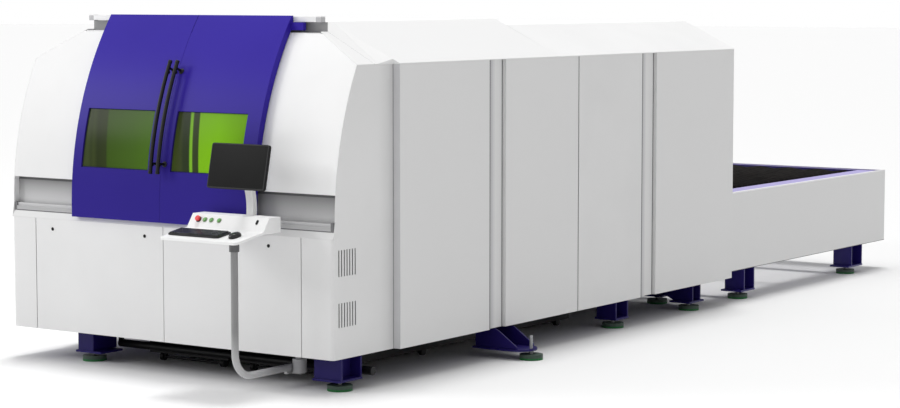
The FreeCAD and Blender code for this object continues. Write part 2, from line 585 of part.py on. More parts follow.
node("rear_wall", cut(wall, box(
    "pallet_left - 25", "pallet_right + 25", side_end + " - 5", "rear_y + 5", "low_level - 5", "bed_top")))
node("control_cabinet", box("store_left", "store_left + store_wide", "store_y", "store_y + store_deep",
                            "bed_floor", "store_high"))


# Doors: curved shells with rebated windows, hung on the top rail
def ring(outer, inner, low, high, x0, x1):
    """A band of the curved front between two radii and two heights."""
    return outline("YZ_Plane", [
        (arc_at(outer, low), low, outer, 1), (arc_at(outer, high), high),
        (arc_at(inner, high), high, inner, -1), (arc_at(inner, low), low)], x0, x1)


def door(x0, x1, glass, tab0, tab1):
    """One door shell with its window opening, rail notch and hanger tab."""
    front = "arc_y - door_radius"
    shell = outline("YZ_Plane", [
        (front, "door_low"), (front, "arc_z", "door_radius", 1), (arc_at("door_radius", "door_high"), "door_high"),
        (arc_at("(door_radius - door_depth)", "door_high"), "door_high", "(door_radius - door_depth)", -1),
        (front + " + door_depth", "arc_z"), (front + " + door_depth", "door_low")], x0, x1)
    through = box(glass, glass + " + window_wide", "-100", "400", "window_low", "window_high")
    sunk = ring("(door_radius - lip_depth)", "(door_radius - door_depth - 20)", "window_low - rebate",
                "window_high + rebate", glass + " - rebate", glass + " + window_wide + rebate")
    notch = box(x0 + " - 5", x1 + " + 5", "top_rail_y - rail_play", "top_rail_y + 100",
                "top_rail_low - rail_play - 3", "door_high + 10")
    tab = box(tab0, tab1, "tab_y", "tab_y + tab_thick", "tab_low", "tab_high")
    return fuse(cut(shell, through, sunk, notch), tab)


def handle(x):
    """A pull bar that follows the door's curve, on two standoffs."""
    path = "(door_radius + handle_out)"
    sweep = "asin((handle_high - arc_z) / %s)" % path
    bar = bend(x, "arc_y", "arc_z", path, "handle_radius", sweep, (0, -1, 0), (0, 0, 1), (-1, 0, 0))
    keep = box("%s - 50" % x, "%s + 50" % x, "-400", "600", "handle_low", "handle_high + 60")
    stands = []
    for height in ("stand_low", "stand_high"):
        stands.append(rod(x, arc_at("door_radius", height), height, "stand_radius", "handle_out", (1, 0, 0),
                          "acos((%s - arc_z) / door_radius)" % height))
    return fuse(common(bar, keep), *stands)


for side, x0, x1, glass, tab0, tab1, grip in (
        ("left", "door_left_edge", "door_seam - seam_play", "window_left", "door_left_edge + 5",
         "door_left_edge + 40", "handle_left_x"),
        ("right", "door_seam + seam_play", "door_right_edge", "window_right", "door_right_edge - 40",
         "door_right_edge + tab_out", "handle_right_x")):
    node("door_" + side, door(x0, x1, glass, tab0, tab1))
    margin = "(rebate - pane_play)"
    node("window_" + side, ring(
        "(door_radius - lip_depth)", "(door_radius - lip_depth - glass_depth)", "window_low - " + margin,
        "window_high + " + margin, "%s - %s" % (glass, margin), "%s + window_wide + %s" % (glass, margin)))
    node("handle_" + side, handle(grip))

# Beam rails, moving beam, carriage and cutting head
node("beam_rails", fuse(*[
    box(x, x + " + rail_wide", "rail_start", "rail_end", "bed_top", "bed_top + rail_high")
    for x in ("bed_left + rail_in", "bed_right - rail_in - rail_wide")]))
beam_front = "beam_y - beam_deep / 2"
foot_bottom = "bed_top + rail_high + slide_play"
beam = [box("bed_left + beam_over", "bed_right - beam_over", beam_front, "beam_y + beam_deep / 2",
            "beam_bottom", "beam_top")]
for x0, x1 in (("bed_left + beam_over", "bed_left + beam_over + beam_foot_wide"),
               ("bed_right - beam_over - beam_foot_wide", "bed_right - beam_over")):
    beam.append(box(x0, x1, "beam_y - beam_foot / 2", "beam_y + beam_foot / 2", foot_bottom, "beam_bottom"))
node("moving_beam", fuse(*beam))
carriage_back = beam_front + " - slide_play"
carriage_front = carriage_back + " - carriage_deep"
node("carriage", box("carriage_x - carriage_wide / 2", "carriage_x + carriage_wide / 2", carriage_front,
                     carriage_back, "carriage_low", "carriage_high"))
head_back = carriage_front + " - slide_play"
head_y = head_back + " - head_deep / 2"
node("cutting_head", fuse(
    box("carriage_x - head_wide / 2", "carriage_x + head_wide / 2", head_back + " - head_deep", head_back,
        "head_low", "head_high"),
    rod("carriage_x", head_y, "nozzle_top", "head_radius - 7", "head_low - nozzle_top"),
    cone("carriage_x", head_y, "nozzle_low", "4", "head_radius - 7", "nozzle_top - nozzle_low")))

# Pallets: open frames with toothed support slats
for level, y in (("high", "pallet_high_y"), ("low", "pallet_low_y")):
    base = level + "_level + pallet_rise"
    top = base + " + frame_high"
    node("pallet_%s_frame" % level, cut(
        box("pallet_left", "pallet_right", y, y + " + pallet_long", base, top),
        box("pallet_left + frame_wide", "pallet_right - frame_wide", y + " + frame_wide",
            y + " + pallet_long / 2 - frame_wide / 2", base + " - 5", top + " + 5"),
        box("pallet_left + frame_wide", "pallet_right - frame_wide", y + " + pallet_long / 2 + frame_wide / 2",
            y + " + pallet_long - frame_wide", base + " - 5", top + " + 5")))
    teeth = [("pallet_left + slat_rest", top), ("pallet_right - slat_rest", top)]
    peak = top + " + slat_high"
    pitch = "(pallet_right - pallet_left - 2 * slat_rest) / slat_teeth"
    for i in range(int(number("slat_teeth")), 0, -1):
        teeth.append(("pallet_left + slat_rest + %s * %d" % (pitch, i), peak))
        teeth.append(("pallet_left + slat_rest + %s * (%d - 0.5)" % (pitch, i), peak + " - tooth_high"))
    teeth.append(("pallet_left + slat_rest", peak))
    slats = outline("XZ_Plane", teeth, y + " + slat_pitch", y + " + slat_pitch + slat_thick")
    node("pallet_%s_slats" % level, repeat(slats, "Y_Axis", "slat_pitch", "slat_rows"))

# Scrap trolleys: open bins on three axles
for side, x0 in (("left", "bin_left"), ("right", "bin_right")):
    x1 = x0 + " + bin_wide"
    back = "bin_front + bin_long"
    shell = cut(
        box(x0, x1, "bin_front", back, "bin_low", "bin_high"),
        box(x0 + " + bin_wall", x1 + " - bin_wall", "bin_front + bin_wall", back + " - bin_wall",
            "bin_low + bin_wall", "bin_high + 5"))
    forks = []
    holes = []
    for spot, y in (("front", "wheel_front"), ("mid", "wheel_mid"), ("back", "wheel_back")):
        for start in (x0 + " + wheel_inset + wheel_wide / 2 + 5",
                      x1 + " - wheel_inset - wheel_wide / 2 - 5 - fork_wide"):
            forks.append(box(
                start, start + " + fork_wide", y + " - 15", y + " + 15", "wheel_radius - 13", "bin_low + 1"))
        holes.append(rod(x0 + " - 5", y, "wheel_radius", "axle_radius + axle_play", "bin_wide + 10", (0, 1, 0)))
        node("wheels_%s_%s" % (side, spot), fuse(
            rod(x0 + " + wheel_inset - wheel_wide / 2", y, "wheel_radius", "axle_radius",
                "bin_wide - 2 * wheel_inset + wheel_wide", (0, 1, 0)),
            rod(x0 + " + wheel_inset - wheel_wide / 2", y, "wheel_radius", "wheel_radius", "wheel_wide", (0, 1, 0)),
            rod(x1 + " - wheel_inset - wheel_wide / 2", y, "wheel_radius", "wheel_radius", "wheel_wide", (0, 1, 0))))
    node("scrap_trolley_" + side, cut(fuse(shell, *forks), *holes))

# Control post: swivel housing under the bed, bent tube with collar
node("arm_pivot", cut(
    fuse(rod("pivot_x", "pivot_y", "pivot_low", "pivot_radius", "pivot_high - pivot_low"),
         rod("pivot_x", "pivot_y", "pivot_high", "pivot_radius - 20", "cabinet_low - pivot_high")),
    rod("pivot_x", "pivot_y", "pivot_low - 5", "pin_radius + fit_play", "65")))
bend_y = "post_y + post_bend"
node("control_arm", cut(
    fuse(rod("post_x", "post_y", "run_z + post_bend", "tube_radius", "post_high - run_z - post_bend"),
         bend("post_x", bend_y, "run_z + post_bend", "post_bend", "tube_radius", "90", (0, -1, 0), (0, 0, -1),
              (1, 0, 0)),
         rod("post_x", "pivot_y - 60", "run_z", "tube_radius", "pivot_y - 60 - (%s)" % bend_y, (1, 0, 0)),
         box("post_x - 30", "post_x - 4", "pivot_y - 75", "pivot_y - 2", "tongue_low", "run_z + 20"),
         box("post_x - 30", "pivot_x + 25", "pivot_y - 25", "pivot_y + 25", "tongue_low",
             "tongue_low + tongue_thick"),
         box("post_x - 30", "post_x", "pivot_y - 75", "pivot_y + 25", "tongue_low", "tongue_low + tongue_thick"),
         rod("pivot_x", "pivot_y", "tongue_low", "pin_radius", "50"),
         rod("post_x", "post_y", "post_high", "collar_radius", "collar_high - post_high")),
    rod("post_x", "post_y", "collar_high - 42", "hub_radius + fit_play", "60")))

# Desk: sloping shelf and control box with bored button seats
shelf_rise = "(desk_foot_y - desk_front) * tan(shelf_angle * 1deg)"
foot_z = "(desk_front_z + %s)" % shelf_rise
slope_top = "desk_foot_y + (desk_top - %s) / tan(slope_angle * 1deg)" % foot_z
under = foot_z + " - shelf_thick"
desk_side = outline("YZ_Plane", [
    ("desk_front", "desk_front_z - shelf_thick"), ("desk_front", "desk_front_z"), ("desk_foot_y", foot_z),
    (slope_top, "desk_top"), ("desk_back", "desk_top"), ("desk_back", under), ("desk_foot_y", under)],
    "desk_left", "desk_right")
desk_plan = outline("XY_Plane", [
    ("desk_left + desk_corner", "desk_front"), ("desk_right - desk_corner", "desk_front", "desk_corner", -1),
    ("desk_right", "desk_front + desk_corner"), ("desk_right", "desk_back"), ("desk_left", "desk_back"),
    ("desk_left", "desk_front + desk_corner", "desk_corner", -1)], "desk_front_z - 30", "desk_top + 10")
slope_y = "desk_foot_y + control_up * cos(slope_angle * 1deg)"
slope_z = foot_z + " + control_up * sin(slope_angle * 1deg)"


def slope_rod(x, radius, low, high):
    """A round piece square to the control slope, from low to high above it."""
    return rod(x, "%s - (%s) * sin(slope_angle * 1deg)" % (slope_y, low),
               "%s + (%s) * cos(slope_angle * 1deg)" % (slope_z, low), radius, "%s - (%s)" % (high, low),
               (1, 0, 0), "slope_angle")


CONTROLS = ("stop_x", "green_one", "green_two", "green_three")
node("desk", cut(
    fuse(common(desk_side, desk_plan),
         rod("post_x", "post_y", "collar_high + 1", "collar_radius - 5", "57"),
         rod("post_x", "post_y", "collar_high - 38", "hub_radius", "45")),
    *[slope_rod(x, "button_radius + button_play", "-bore_deep", "10") for x in CONTROLS]))
node("emergency_stop", fuse(
    slope_rod("stop_x", "button_radius", "-button_deep", "mushroom_low + 1"),
    slope_rod("stop_x", "mushroom_radius", "mushroom_low", "mushroom_high")))
for name, x in (("start", "green_one"), ("hold", "green_two"), ("reset", "green_three")):
    node("button_" + name, slope_rod(x, "button_radius", "-button_deep", "button_out"))
for label, x, y, wide, deep, thick in (
        ("keyboard", "key_left", "key_y", "key_wide", "key_deep", "key_thick"),
        ("mouse", "mouse_left", "mouse_y", "mouse_wide", "mouse_deep", "mouse_thick")):
    slab = box(x, "%s + %s" % (x, wide), y, "%s + %s" % (y, deep), "0", thick)
    turn(slab, (1, 0, 0), "shelf_angle")
    put(slab, x, y, "desk_front_z + (%s - desk_front) * tan(shelf_angle * 1deg)" % y)
    node(label, slab)

# Monitor on a bowed stem, tilting on a pin between two lugs
pin_half = "stem_wide / 2 + lug_gap + lug_wide"
node("monitor_stem", fuse(
    outline("YZ_Plane", [
        ("stem_y - stem_deep / 2", "desk_top"), ("stem_y + stem_deep / 2", "desk_top", "500", -1),
        ("hinge_y + 12", "hinge_z + 14"), ("hinge_y - 12", "hinge_z + 14"), ("hinge_y - 12", "hinge_z - 22", "440", 1)],
        "screen_x - stem_wide / 2", "screen_x + stem_wide / 2"),
    rod("screen_x - (%s)" % pin_half, "hinge_y", "hinge_z", "hinge_radius", "2 * (%s)" % pin_half, (0, 1, 0))))
half_x = "(screen_wide / 2)"
half_z = "(screen_high / 2)"
low_x = "(screen_wide / 2 - screen_round)"
low_z = "(screen_high / 2 - screen_round)"
screen = outline("XZ_Plane", [
    ("-" + low_x, "-" + half_z), (low_x, "-" + half_z, "screen_round", -1), (half_x, "-" + low_z), (half_x, low_z,
    "screen_round", -1), (low_x, half_z), ("-" + low_x, half_z, "screen_round", -1), ("-" + half_x, low_z),
    ("-" + half_x, "-" + low_z, "screen_round", -1)], "-screen_back - screen_deep", "-screen_back")
lug_in = "stem_wide / 2 + lug_gap"
lugs = [box(a, b, "-screen_back - 1", "lug_half", "-lug_half", "lug_half") for a, b in (
    (lug_in, lug_in + " + lug_wide"), ("-(%s) - lug_wide" % lug_in, "-(%s)" % lug_in))]
monitor = cut(fuse(screen, *lugs), rod("-100", "0", "0", "hinge_radius + fit_play", "200", (0, 1, 0)))
turn(monitor, (1, 0, 0), "-screen_tilt")
put(monitor, "screen_x", "hinge_y", "hinge_z")
node("monitor", monitor)

doc.recompute()
bad = [o.Name for o in doc.Objects if any(word in ("Invalid", "Error") for word in o.State)]
if bad:
    raise RuntimeError("objects that failed: " + ", ".join(bad))
for part in nodes:
    shape = part.Shape
    if shape.isNull() or not shape.isValid() or not shape.Solids:
        raise RuntimeError("no valid solid: " + part.Label)
for part in nodes:
    part.Shape.exportStep(os.path.join("parts", part.Label + ".step"))
box_all = nodes[0].Shape.BoundBox
for part in nodes:
    box_all.add(part.Shape.BoundBox)
print("%d pieces, %.1f x %.1f x %.1f mm" % (len(nodes), box_all.XLength, box_all.YLength, box_all.ZLength))
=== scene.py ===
import math
import bpy
import numpy as np
from mathutils import Matrix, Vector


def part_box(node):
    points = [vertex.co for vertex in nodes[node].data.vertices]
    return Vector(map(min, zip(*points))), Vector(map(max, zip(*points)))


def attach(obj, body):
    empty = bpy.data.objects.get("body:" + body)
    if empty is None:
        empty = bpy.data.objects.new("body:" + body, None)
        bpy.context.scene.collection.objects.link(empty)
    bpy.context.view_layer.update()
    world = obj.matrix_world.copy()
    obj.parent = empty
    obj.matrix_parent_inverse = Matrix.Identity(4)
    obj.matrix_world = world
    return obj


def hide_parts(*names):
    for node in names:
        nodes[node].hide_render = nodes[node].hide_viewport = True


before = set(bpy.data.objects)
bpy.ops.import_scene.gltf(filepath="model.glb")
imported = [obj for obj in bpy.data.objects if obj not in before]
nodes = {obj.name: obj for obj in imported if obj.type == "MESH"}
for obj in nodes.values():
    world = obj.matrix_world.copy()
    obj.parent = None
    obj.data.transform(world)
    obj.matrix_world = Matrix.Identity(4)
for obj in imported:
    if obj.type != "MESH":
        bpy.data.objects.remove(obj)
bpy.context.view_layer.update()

# A laser cutting machine: a casing with two curved sliding doors, a control desk on a bent post and an
# exchange table behind. Sizes are metres on the machine's own axes: X along the front, Y to the back
# from the lower covers, Z up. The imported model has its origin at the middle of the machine's plan.
SHIFT = np.array([0.15125, 4.199, 0.0])
ALONG = np.array([1.0, 0.0, 0.0])
INWARD = np.array([0.0, 1.0, 0.0])
UPRIGHT = np.array([0.0, 0.0, 1.0])

# Sizes that several sections share
DOOR_RADIUS = 2.4
WINDOW_LOW = 1.45
WINDOW_HIGH = 1.873
FRONT_DEPTH = 0.693


def place(x, y, z):
    """A point of the machine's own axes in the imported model's frame."""
    return np.array([x, y, z], float) - SHIFT


def turned(side, top, away, spot):
    """The matrix of a camera or lamp at a spot, with its axes along three directions."""
    return Matrix([[side[i], top[i], away[i], spot[i]] for i in range(3)] + [[0, 0, 0, 1]])


# Camera: the place, turn and lens that the photograph's vanishing lines give

AZIMUTH = math.radians(34.490)
ELEVATION = math.radians(5.180)
EYE = place(10.9739, -12.4043, 2.7081)
LENS_MM = 93.38
SENSOR_MM = 36.0

back = np.array([math.sin(AZIMUTH) * math.cos(ELEVATION), -math.cos(AZIMUTH) * math.cos(ELEVATION),
                 math.sin(ELEVATION)])
right = np.array([math.cos(AZIMUTH), math.sin(AZIMUTH), 0.0])
view = bpy.data.cameras.new("view")
view.lens = LENS_MM
view.sensor_width = SENSOR_MM
view.clip_end = 200.0
camera = bpy.data.objects.new("view", view)
camera.matrix_world = turned(right, np.cross(back, right), back, EYE)
bpy.context.scene.collection.objects.link(camera)
bpy.context.scene.camera = camera
bpy.context.scene.view_settings.view_transform = "Standard"


# Materials

def colour(code):
    """An sRGB hex colour as linear red, green, blue and alpha."""
    parts = [int(code[i:i + 2], 16) / 255 for i in (1, 3, 5)]
    return [p / 12.92 if p <= 0.04045 else ((p + 0.055) / 1.055) ** 2.4 for p in parts] + [1.0]


def add(owner, kind, settings=None, links=None):
    """Adds a shader node, sets its inputs or properties, and links inputs from other nodes' outputs."""
    node = owner.node_tree.nodes.new("ShaderNode" + kind)
    for key, value in (settings or {}).items():
        if isinstance(key, int) or key in node.inputs:
            node.inputs[key].default_value = value
        else:
            setattr(node, key, value)
    for key, (source, output) in (links or {}).items():
        owner.node_tree.links.new(source.outputs[output], node.inputs[key])
    return node


def blank(name):
    """A material whose node tree is empty."""
    material = bpy.data.materials.new(name)
    material.use_nodes = True
    material.node_tree.nodes.clear()
    return material


def ramp(material, source, output, stops):
    """A straight colour ramp over a value, from (position, hex) stops."""
    node = add(material, "ValToRGB", links={"Fac": (source, output)})
    for i, (position, code) in enumerate(stops):
        stop = node.color_ramp.elements[i] if i < 2 else node.color_ramp.elements.new(position)
        stop.position = position
        stop.color = colour(code)
    return node


# Grain sizes. The waves of a powder coat are real. Moulded, ground and rubber grain is really about
# 0.1 mm, and is drawn coarser so that it shows.
ORANGE_PEEL = 0.0025
MOULDED_GRAIN = 0.0015
FINE_GRAIN = 0.001

# Roughness of the paints
POWDER = 0.5
DULL_POWDER = 0.55
SATIN = 0.42


def coated(name, low, high, rough, grain=ORANGE_PEEL, bump=0.06, metallic=0.0, coat=0.0, cloud=0.8,
           edge=0.003, gleam=0.4, zones=None, fade=None):
    """A painted, plated or moulded finish.

    Two near colours lie in soft clouds, a skin of grains roughens it, and its edges are eased by a small
    radius. Zones are (axis, stops): beyond each stop's place along the axis lies that stop's colour. A
    fade is (axis, start, end, factor): it scales the colour evenly from 1 at the start to the factor at
    the end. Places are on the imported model's axes.
    """
    material = blank(name)
    where = add(material, "TexCoord")
    clouds = add(material, "TexNoise", {"Scale": 1 / cloud, "Detail": 3.0, "Roughness": 0.55},
                 {"Vector": (where, "Object")})
    grains = add(material, "TexNoise", {"Scale": 1 / grain, "Detail": 2.0}, {"Vector": (where, "Object")})
    paint = (ramp(material, clouds, "Fac", [(0.35, low), (0.65, high)]), "Color")
    split = add(material, "SeparateXYZ", links={"Vector": (where, "Object")})
    if zones:
        axis, stops = zones
        for start, code in stops:
            past = add(material, "Math", {"operation": "GREATER_THAN", 1: start}, {0: (split, axis)})
            mixed = add(material, "Mix", {"data_type": "RGBA", "blend_type": "MIX", 7: colour(code)},
                        {0: (past, "Value"), 6: paint})
            paint = (mixed, 2)
    if fade:
        axis, start, end, factor = fade
        share = add(material, "MapRange",
                    {"From Min": start, "From Max": end, "To Min": 1.0, "To Max": factor},
                    {"Value": (split, axis)})
        scaled = add(material, "VectorMath", {"operation": "SCALE"}, {0: paint, 3: (share, "Result")})
        paint = (scaled, "Vector")
    eased = add(material, "Bevel", {"samples": 4, "Radius": edge})
    height = add(material, "Bump", {"Strength": bump, "Distance": grain / 4},
                 {"Height": (grains, "Fac"), "Normal": (eased, "Normal")})
    gloss = add(material, "MapRange", {"To Min": rough - 0.04, "To Max": rough + 0.04},
                {"Value": (clouds, "Fac")})
    shader = add(material, "BsdfPrincipled",
                 {"Metallic": metallic, "Coat Weight": coat, "Coat Roughness": 0.2,
                  "Specular IOR Level": gleam},
                 {"Base Color": paint, "Roughness": (gloss, "Result"), "Normal": (height, "Normal")})
    add(material, "OutputMaterial", links={"Surface": (shader, "BSDF")})
    return material


def packed_y(y):
    """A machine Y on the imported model's axis, where the materials read it."""
    return y - SHIFT[1]


# Whites of one coat: the lighter pair is painted light, and the off-white pair painted shade for the lower,
# less lit parts.
LIT_WHITE = ("#F0F0F0", "#F4F4F4")
OFF_WHITE = ("#E1E1E1", "#E5E5E5")
SIDE_GREY = "#E1E1E1"

# White polyester powder coat on the curved panels: soft sheen over a barely seen orange-peel skin, and
# painted a little lighter towards the right as painted light.
WHITE = coated("white powder coat", "#E9E9E9", "#EDEDED", POWDER, fade=("X", -1.3, 1.2, 1.12))

# The same white painted lighter on the roof, desk and upper rail: painted light, for faces that catch more.
BRIGHT = coated("bright white powder coat", *LIT_WHITE, POWDER)

# The lift-off covers take the coat a touch greyer: painted shade for the weaker light low down.
COVER = coated("off-white powder coat", *OFF_WHITE, POWDER)

# The corner sheets are the same, with painted shade darkening them towards the joint with the side modules,
# and a grey band of painted shade at the joint itself.
CORNER_JOINT = packed_y(FRONT_DEPTH - 0.008)
CORNER = coated("off-white powder coat with painted shade", *OFF_WHITE, POWDER,
                zones=("Y", [(CORNER_JOINT, "#A4A4A6")]),
                fade=("Y", packed_y(FRONT_DEPTH - 0.174), packed_y(FRONT_DEPTH - 0.004), 0.86))

# The sill has the same coat, and the recess wall above it darkens upwards in the doors' shade.
SILL_TOP = 1.097
RECESS_LIP = 1.326
SILL = coated("white sill powder coat", *OFF_WHITE, POWDER,
              zones=("Z", [(SILL_TOP + 0.002, "#E1E1E2"), (RECESS_LIP, "#8C8C8E")]),
              fade=("Z", SILL_TOP + 0.023, RECESS_LIP, 0.3))

# The lower rail is light grey in two steps, with a dark band of painted shadow at its foot.
RAIL_STEP = 1.132
RAIL = coated("light grey rail coat", "#5E5E60", "#68686A", POWDER,
              zones=("Z", [(SILL_TOP + 0.007, "#B0B0B1"), (RAIL_STEP - 0.0015, "#C6C6C7")]))

# The roof's front sheet is painted the lighter white as painted light, and the wall right behind the upper
# rail is painted grey in its channel as painted shade.
RAIL_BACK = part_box("top_rail")[1][1]
CHANNEL = 0.001
ROOF = coated("bright white powder coat with a painted-shade channel", *LIT_WHITE, POWDER,
              zones=("Y", [(RAIL_BACK - CHANNEL, "#989899"), (RAIL_BACK + CHANNEL, LIT_WHITE[0])]))

# Light grey powder coat on the side and rear sheets: duller, and painted a little darker than the front as
# painted shade.
GREY = coated("light grey powder coat", "#E0E0E0", "#E3E3E3", DULL_POWDER)


def strip_zones(start, end, near, far):
    """Zones across a sunk strip of the side wall.

    Painted shade lies as a dark band at both of its corners, as wide as near and far say, and the strip's own
    face is painted in three steps of shade behind the first corner.
    """
    shades = ((0.0, "#C0C0C2"), (0.062, "#CECED0"), (0.082, "#D9D9DA"), (0.102, SIDE_GREY))
    return ([(packed_y(start) - near, "#606062")] + [(packed_y(start) + at, code) for at, code in shades]
            + [(packed_y(end) - far, "#6E6E70"), (packed_y(end) - 0.0005, SIDE_GREY)])


# The right modules have the same coat, with dark caulk in their joints, a painted-shade darker front edge,
# and painted shade in the sunk strips' corners and on their faces.
MODULE_SEAM = 3.072
MODULE = coated("caulked grey powder coat with painted shade, front", "#CFCFD1", "#D5D5D7", DULL_POWDER, zones=("Y", [
    (packed_y(FRONT_DEPTH) + 0.0035, SIDE_GREY), *strip_zones(1.828, 2.036, 0.010, 0.012),
    (packed_y(MODULE_SEAM) - 0.010, "#707072")]))
MODULE_REAR = coated("grey powder coat with painted shade, rear", "#DFDFDF", "#E3E3E3", DULL_POWDER,
                     zones=("Y", strip_zones(4.063, 4.292, 0.011, 0.013)))

# The table's outer sheets have it too, darker at their foot and near white along their top edge.
SHEETS = coated("light grey table sheet coat", "#6A6A6C", "#707072", DULL_POWDER, zones=("Z", [
    (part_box("table_sheets")[0][2] + 0.005, SIDE_GREY), (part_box("table_sheets")[1][2] - 0.004, "#FBFAFF")]))

# Blue-violet two-coat enamel on the doors: deep colour with a soft highlight, and painted lighter upwards
# where they lean back: painted light.
VIOLET = coated("blue violet gloss enamel", "#291B80", "#2C1E86", 0.38, cloud=1.5, gleam=0.1,
                fade=("Z", 1.5, 2.1, 1.4))

# Blue-violet machine enamel on the welded bed and legs: darker and satin.
FRAME = coated("blue violet machine enamel", "#1A1152", "#1F155C", SATIN, gleam=0.2)

# Violet enamel on the table's frame, and the pale light that its beams' top faces catch.
TABLE_TOP = 0.955
TABLE = coated("violet table enamel", "#1A0E60", "#1F1268", SATIN,
               zones=("Z", [(TABLE_TOP - 0.0005, "#978CCB")]))

# Black satin enamel on the pull bars, lifting bar, trolleys and locks, and on the black sheets of painted
# shade behind the vents.
BLACK = coated("black satin enamel", "#0B0B0D", "#111114", SATIN, gleam=0.25)

# Black moulded ABS of the trolley wheels, the locks' bezels and grips, the stop's collar, the desk's
# socket and the monitor's bezel: spark-eroded texture.
BLACK_ABS = coated("black moulded ABS", "#0E0E10", "#151517", 0.5, MOULDED_GRAIN, bump=0.12, edge=0.001,
                   gleam=0.3)

# The keyboard and the mouse are polished smoother.
KEYS = coated("polished black ABS", "#09090B", "#0E0E11", 0.27, MOULDED_GRAIN, bump=0.05, edge=0.001)

# The lower end stops are moulded in grey ABS, the upper ones in pale ABS with a white cap.
BETWEEN_STOPS = 2.0
STOPS = coated("moulded ABS end stops", "#6E6E70", "#767678", 0.5, MOULDED_GRAIN, bump=0.1,
               zones=("Z", [(BETWEEN_STOPS, "#BEBEC0"), (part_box("end_stops")[1][2] - 0.006, "#EDEDED")]))

# Dark grey ABS of the monitor's shell.
SHELL = coated("dark grey moulded ABS", "#1E1E1F", "#222223", 0.55, MOULDED_GRAIN, bump=0.08, edge=0.002,
               gleam=0.1)

# The monitor's switched-off panel: near black under an anti-glare film.
PANEL = coated("dark display panel", "#212121", "#242424", 0.5, FINE_GRAIN, bump=0.02, edge=0.0005,
               gleam=0.05)

# Light grey satin enamel on the bent post, painted darker upwards from its bend as painted shade, with a
# dark grey clamping collar.
POST_HIGH = 0.969
POST = coated("light grey satin enamel", "#C2C2C3", "#CACACB", SATIN,
              zones=("Z", [(POST_HIGH, "#7E7E80")]), fade=("Z", 0.17, 0.42, 0.45))

# The same enamel at its lightest on the swivel housing under the bed.
PIVOT = coated("pale grey satin enamel", "#CFCFD0", "#D6D6D7", SATIN)

# Hot-rolled pallet steel scorched by the beam: brown-black oxide with a dull metallic glint.
SCORCHED = coated("scorched mild steel", "#1A1817", "#2C2826", 0.6, 0.004, bump=0.3, metallic=0.5,
                  cloud=0.06, edge=0.001)

# Ground steel of the beam's rails and the head: fine bright scratches.
GROUND = coated("ground steel", "#9C9EA1", "#B2B4B6", 0.3, FINE_GRAIN, bump=0.05, metallic=1.0, cloud=0.04)

# Clear-anodised aluminium of the beam and carriage: pale, even and satin.
ANODISED = coated("anodised aluminium", "#B8BABD", "#C6C8CA", 0.38, FINE_GRAIN, bump=0.04, metallic=1.0,
                  cloud=0.1)

# Levelling feet: green nitrile rubber at the floor, a dark plated dish on it, and bright plated rods above.
RUBBER_HIGH = 0.016
FOOT_HIGH = 0.04
FEET = coated("plated steel on green rubber", "#1C5A30", "#246A39", 0.5, 0.002, bump=0.1, gleam=0.2,
              zones=("Z", [(RUBBER_HIGH, "#435249"), (FOOT_HIGH + 0.0005, "#A2A4A6")]))

# Red and green gloss ABS of the push buttons, under a clear lacquer.
RED = coated("red gloss ABS", "#E0282E", "#E8383D", 0.25, coat=0.4, edge=0.001)
GREEN = coated("green gloss ABS", "#5A9A4C", "#66A857", 0.25, coat=0.4, edge=0.001)

# Satin nickel of the push buttons' rings, with a green tint painted in as the lenses' reflection.
LENS_RING = coated("satin nickel lens ring", "#8E9C82", "#9AA88E", 0.35, FINE_GRAIN, bump=0.03,
                   metallic=0.6, edge=0.0005)

# Black nitrile rubber of the mouse wheel: matt.
RUBBER = coated("black nitrile rubber", "#141512", "#1B1C18", 0.65, FINE_GRAIN, bump=0.1, edge=0.001)

# Dark violet rubber of the window seals: matt, and darker than the doors.
SEAL = coated("dark violet rubber", "#1D1550", "#221A58", 0.6, FINE_GRAIN, bump=0.1, edge=0.001, gleam=0.1)

PANES = [(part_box(n)[0][0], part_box(n)[1][0]) for n in ("window_left", "window_right")]
BAR_LEAN = 0.128


